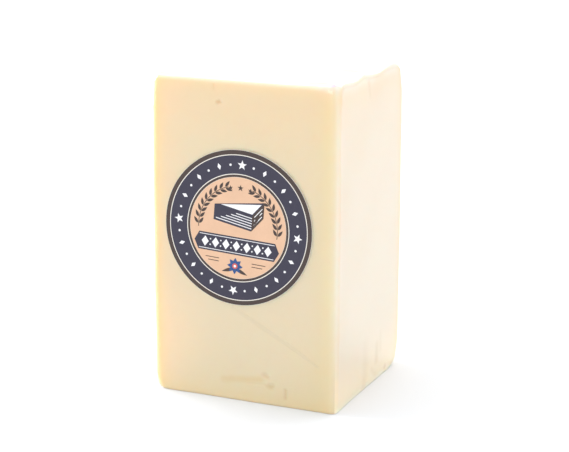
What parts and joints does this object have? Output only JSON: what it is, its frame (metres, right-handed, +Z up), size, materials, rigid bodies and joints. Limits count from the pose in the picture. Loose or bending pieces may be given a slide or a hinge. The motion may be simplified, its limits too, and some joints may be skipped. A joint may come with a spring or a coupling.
{
  "type": "block of sharp white cheddar in clear film",
  "caption": "Upright rectangular retail block of pale sharp white cheddar, sealed in tight clear film, with a round paper label on its front.",
  "frame": {"origin": "on the floor, under the middle of the block's box", "axes": "+Z up along the block's height; the labelled front looks along -Y; +X is to the front's right"},
  "size_m": [0.0842, 0.0762, 0.136],
  "materials": {
    "cheddar": "pale cream white cheddar, smooth cut faces with small pits, slightly waxy and translucent at its edges",
    "clear_film": "thin clear film drawn skin-tight over the block, with fine creases, small gathers and soft gloss",
    "label_paper": "satin printed paper in slate navy and brown charcoal with peach fields and cream lines, no lettering"
  },
  "bodies": {
    "root": {"wrapped_cheddar": "cheddar", "round_label": "label_paper"}
  },
  "joints": []
}
